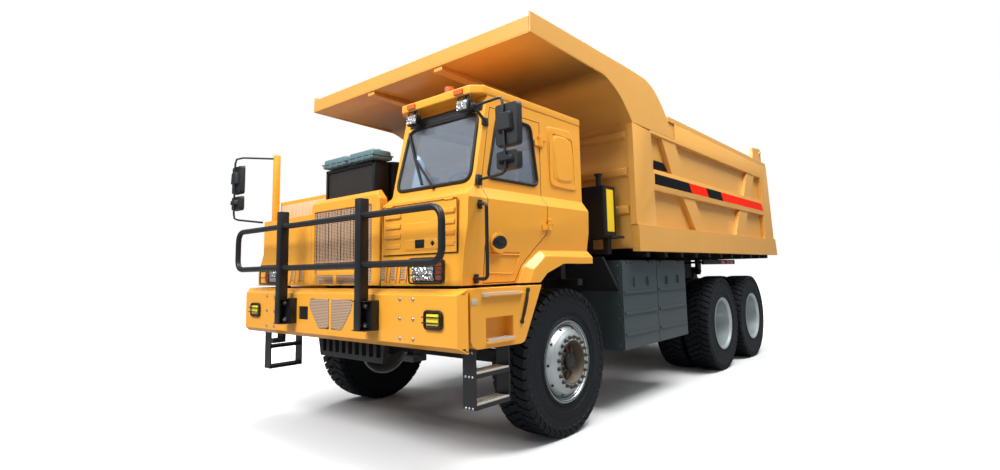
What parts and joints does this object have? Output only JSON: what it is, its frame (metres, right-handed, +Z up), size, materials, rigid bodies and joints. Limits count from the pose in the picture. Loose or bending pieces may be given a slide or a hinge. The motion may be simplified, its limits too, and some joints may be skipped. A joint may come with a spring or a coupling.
{
  "type": "mining dump truck",
  "caption": "Six-wheel off-highway dump truck with an offset cab, a canopied tipping body with braced sides, a tubular front guard and twin rear tyres.",
  "frame": {"origin": "on the ground, at the middle of the truck's length and width", "axes": "+Y to the rear, +X to the truck's left, +Z up; the front faces -Y"},
  "size_m": [4.12, 8.63, 3.804],
  "materials": {
    "cab_paint": "gloss paint",
    "body_paint": "satin paint",
    "frame_paint": "satin dark chassis paint",
    "box_paint": "satin dark grey paint",
    "black_paint": "satin black powder coat",
    "mirror_plastic": "textured black plastic",
    "tank_plastic": "moulded plastic",
    "tyre": "moulded rubber",
    "rim_paint": "silver paint",
    "core_metal": "fin and tube core",
    "engine_iron": "painted casting",
    "steel": "ground rod",
    "glass": "clear glass",
    "lens": "lamp lens",
    "amber": "amber lens",
    "seat_cloth": "woven cloth",
    "trim_plastic": "grained plastic",
    "grille_steel": "perforated sheet"
  },
  "bodies": {
    "truck": {"air_cleaner": "black_paint", "beacon_and_markers": "amber", "bull_bar": "black_paint", "cab_glass": "glass", "cab_roof": "cab_paint", "cab_shell": "cab_paint", "chassis_frame": "frame_paint", "coolant_tanks": "tank_plastic", "dashboard": "trim_plastic", "deck_box": "cab_paint", "engine_block": "engine_iron", "front_axle": "frame_paint", "front_bumper": "cab_paint", "fuel_tank": "box_paint", "grab_handle": "black_paint", "grille_mesh": "grille_steel", "hood": "cab_paint", "hydraulic_tank": "black_paint", "ladders": "black_paint", "lamps": "lens", "left_fender": "cab_paint", "left_step_panel": "cab_paint", "mirrors": "mirror_plastic", "mudguards": "frame_paint", "muffler": "steel", "radiator": "core_metal", "rear_axles": "frame_paint", "right_fender": "cab_paint", "right_step_panel": "cab_paint", "seat": "seat_cloth", "side_box": "box_paint", "tail_lamps": "amber", "under_guard": "frame_paint"},
    "knuckle_left": {"knuckle_left": "frame_paint"},
    "knuckle_right": {"knuckle_right": "frame_paint"},
    "wheel_front_left": {"tyre_front_left": "tyre", "rim_front_left": "rim_paint"},
    "wheel_front_right": {"tyre_front_right": "tyre", "rim_front_right": "rim_paint"},
    "front_hatch": {"front_hatch": "cab_paint"},
    "box_door_front": {"box_door_front": "box_paint"},
    "box_door_rear": {"box_door_rear": "box_paint"},
    "door_left": {"door_left": "cab_paint", "door_glass": "glass"},
    "dump_bed": {"bed_shell": "body_paint", "canopy": "body_paint", "bed_frames": "body_paint", "bed_underframe": "body_paint"},
    "tailgate": {"tailgate": "body_paint"},
    "hoist_barrels": {"hoist_barrels": "frame_paint"},
    "hoist_rods": {"hoist_rods": "steel"},
    "wheels_rear_1_left": {"tyres_rear_1_left": "tyre", "rims_rear_1_left": "rim_paint"},
    "wheels_rear_1_right": {"tyres_rear_1_right": "tyre", "rims_rear_1_right": "rim_paint"},
    "wheels_rear_2_left": {"tyres_rear_2_left": "tyre", "rims_rear_2_left": "rim_paint"},
    "wheels_rear_2_right": {"tyres_rear_2_right": "tyre", "rims_rear_2_right": "rim_paint"}
  },
  "joints": [
    {"name": "steer_left", "type": "hinge", "parent": "truck", "child": "knuckle_left", "pos_m": [1.12, -2.612, 0.68], "axis": [0, 0, 1], "range_deg": [-30, 30]},
    {"name": "roll_front_left", "type": "hinge", "parent": "knuckle_left", "child": "wheel_front_left", "pos_m": [1.372, -2.612, 0.68], "axis": [1, 0, 0], "continuous": true},
    {"name": "steer_right", "type": "hinge", "parent": "truck", "child": "knuckle_right", "pos_m": [-1.12, -2.612, 0.68], "axis": [0, 0, 1], "range_deg": [-30, 30]},
    {"name": "roll_front_right", "type": "hinge", "parent": "knuckle_right", "child": "wheel_front_right", "pos_m": [-1.372, -2.612, 0.68], "axis": [1, 0, 0], "continuous": true},
    {"name": "roll_rear_1_left", "type": "hinge", "parent": "truck", "child": "wheels_rear_1_left", "pos_m": [1.246, 1.449, 0.68], "axis": [1, 0, 0], "continuous": true},
    {"name": "roll_rear_1_right", "type": "hinge", "parent": "truck", "child": "wheels_rear_1_right", "pos_m": [-1.246, 1.449, 0.68], "axis": [1, 0, 0], "continuous": true},
    {"name": "roll_rear_2_left", "type": "hinge", "parent": "truck", "child": "wheels_rear_2_left", "pos_m": [1.246, 2.921, 0.68], "axis": [1, 0, 0], "continuous": true},
    {"name": "roll_rear_2_right", "type": "hinge", "parent": "truck", "child": "wheels_rear_2_right", "pos_m": [-1.246, 2.921, 0.68], "axis": [1, 0, 0], "continuous": true},
    {"name": "door_hinge", "type": "hinge", "parent": "truck", "child": "door_left", "pos_m": [1.665, -2.995, 1.939], "axis": [-0.0835, 0, 0.9965], "range_deg": [0, 70]},
    {"name": "hatch_hinge", "type": "hinge", "parent": "truck", "child": "front_hatch", "pos_m": [1.0975, -4.04, 2.101], "axis": [-1, 0, 0], "range_deg": [0, 24]},
    {"name": "box_door_front_hinge", "type": "hinge", "parent": "truck", "child": "box_door_front", "pos_m": [1.6417, -1.21725, 1.608], "axis": [0, -1, 0], "range_deg": [0, 80]},
    {"name": "box_door_rear_hinge", "type": "hinge", "parent": "truck", "child": "box_door_rear", "pos_m": [1.6417, -0.34975, 1.608], "axis": [0, -1, 0], "range_deg": [0, 80]},
    {"name": "bed_hinge", "type": "hinge", "parent": "truck", "child": "dump_bed", "pos_m": [0, 3.588, 1.45], "axis": [-1, 0, 0], "range_deg": [0, 45]},
    {"name": "tailgate_hinge", "type": "hinge", "parent": "dump_bed", "child": "tailgate", "pos_m": [0, 3.828, 3.64], "axis": [1, 0, 0], "range_deg": [0, 60]},
    {"name": "hoist_swing", "type": "hinge", "parent": "truck", "child": "hoist_barrels", "pos_m": [0, 2.888, 0.96], "axis": [-1, 0, 0], "range_deg": [0, 9.65]},
    {"name": "hoist_stroke", "type": "slide", "parent": "hoist_barrels", "child": "hoist_rods", "axis": [0, 0.2784, 0.9605], "range_m": [0, 0.3923]}
  ],
  "couplings": [
    {"joint": "steer_right", "follows": "steer_left", "ratio": 1},
    {"joint": "hoist_swing", "follows": "bed_hinge", "ratio": 0.21},
    {"joint": "hoist_stroke", "follows": "bed_hinge", "m_per_rad": 0.497}
  ]
}
